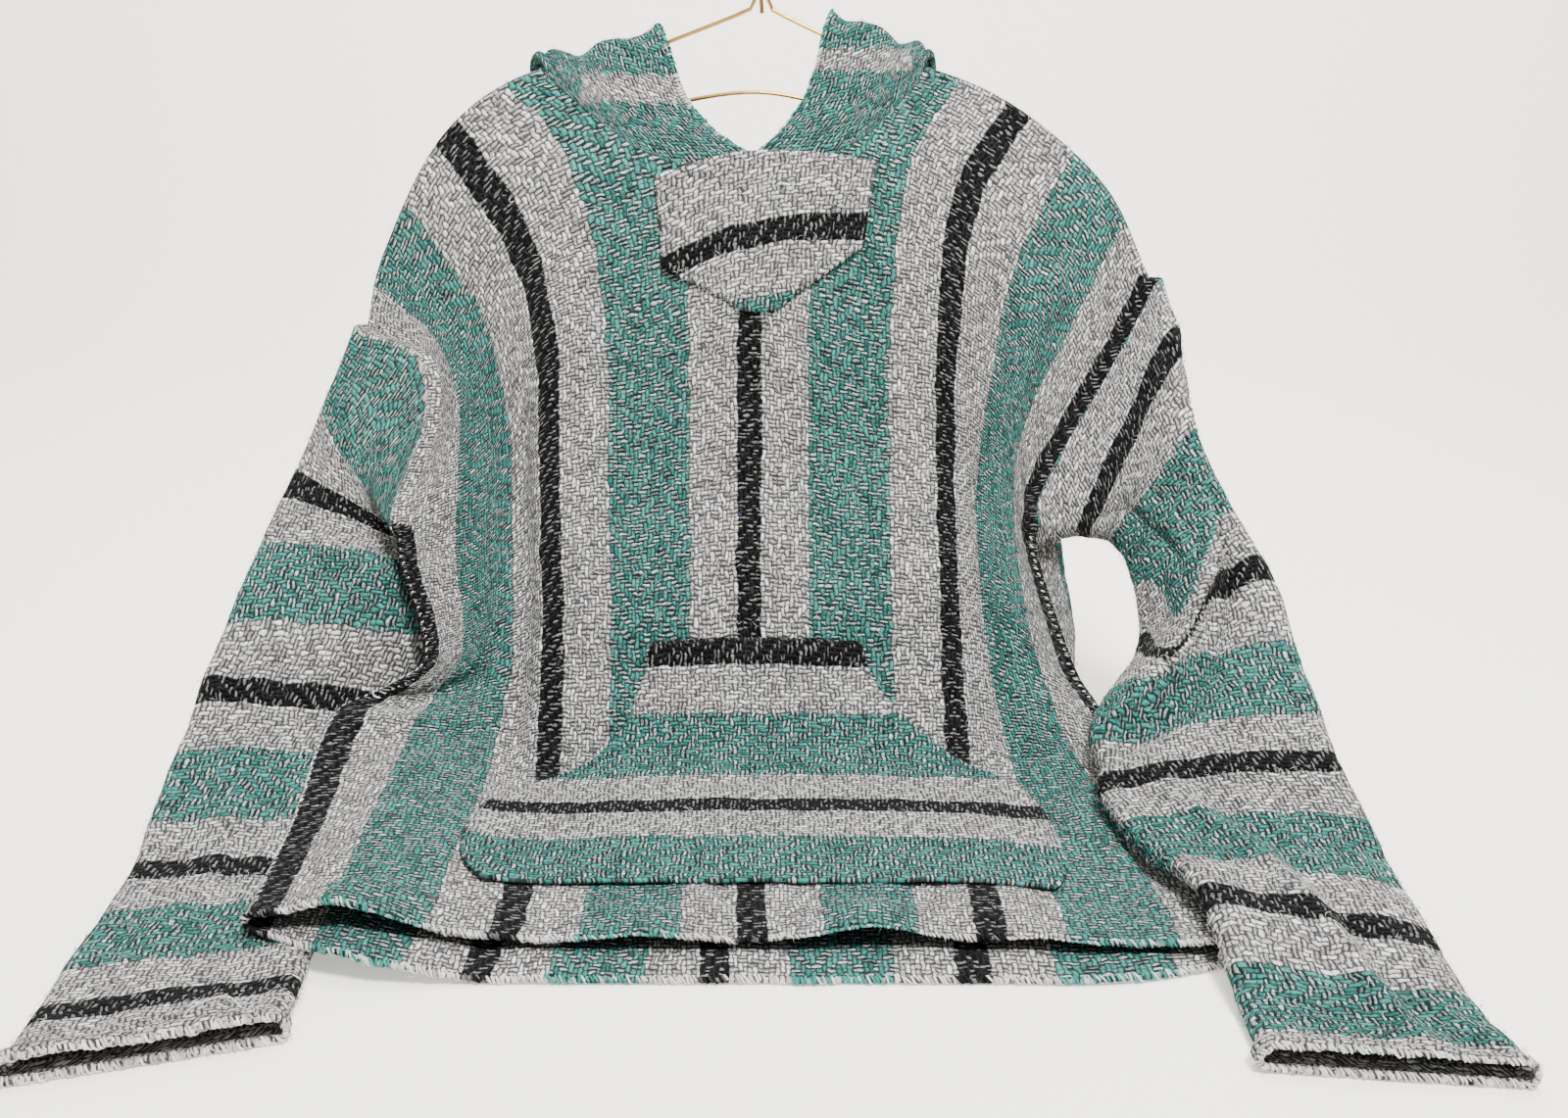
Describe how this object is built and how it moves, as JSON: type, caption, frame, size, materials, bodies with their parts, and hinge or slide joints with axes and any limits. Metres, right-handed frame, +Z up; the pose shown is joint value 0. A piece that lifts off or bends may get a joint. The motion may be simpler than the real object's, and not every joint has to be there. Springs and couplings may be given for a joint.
{
  "type": "baja hoodie on a wire hanger",
  "caption": "Woven pullover with a split neck, hood, neck patch and front pouch pocket, leaning from a thin wire hanger with its hem and sleeves lying on a table.",
  "frame": {"origin": "inside top of the hanger's hook, where it hangs on a rod", "axes": "+Z up, -Y towards the viewer that the garment leans to, +X to the right of someone who looks at its front"},
  "size_m": [0.7758, 0.6168, 0.6033],
  "materials": {
    "cloth_teal": "coarse woven, matt",
    "cloth_grey": "coarse woven, matt",
    "wire": "satin"
  },
  "bodies": {
    "root": {"sleeve_left": "cloth_teal", "sleeve_right": "cloth_teal", "hood_left": "cloth_teal", "hood_right": "cloth_teal", "body_front": "cloth_grey", "body_back": "cloth_grey", "pouch_pocket": "cloth_teal", "neck_patch": "cloth_grey", "hanger_frame": "wire", "hanger_hook": "wire"}
  },
  "joints": []
}
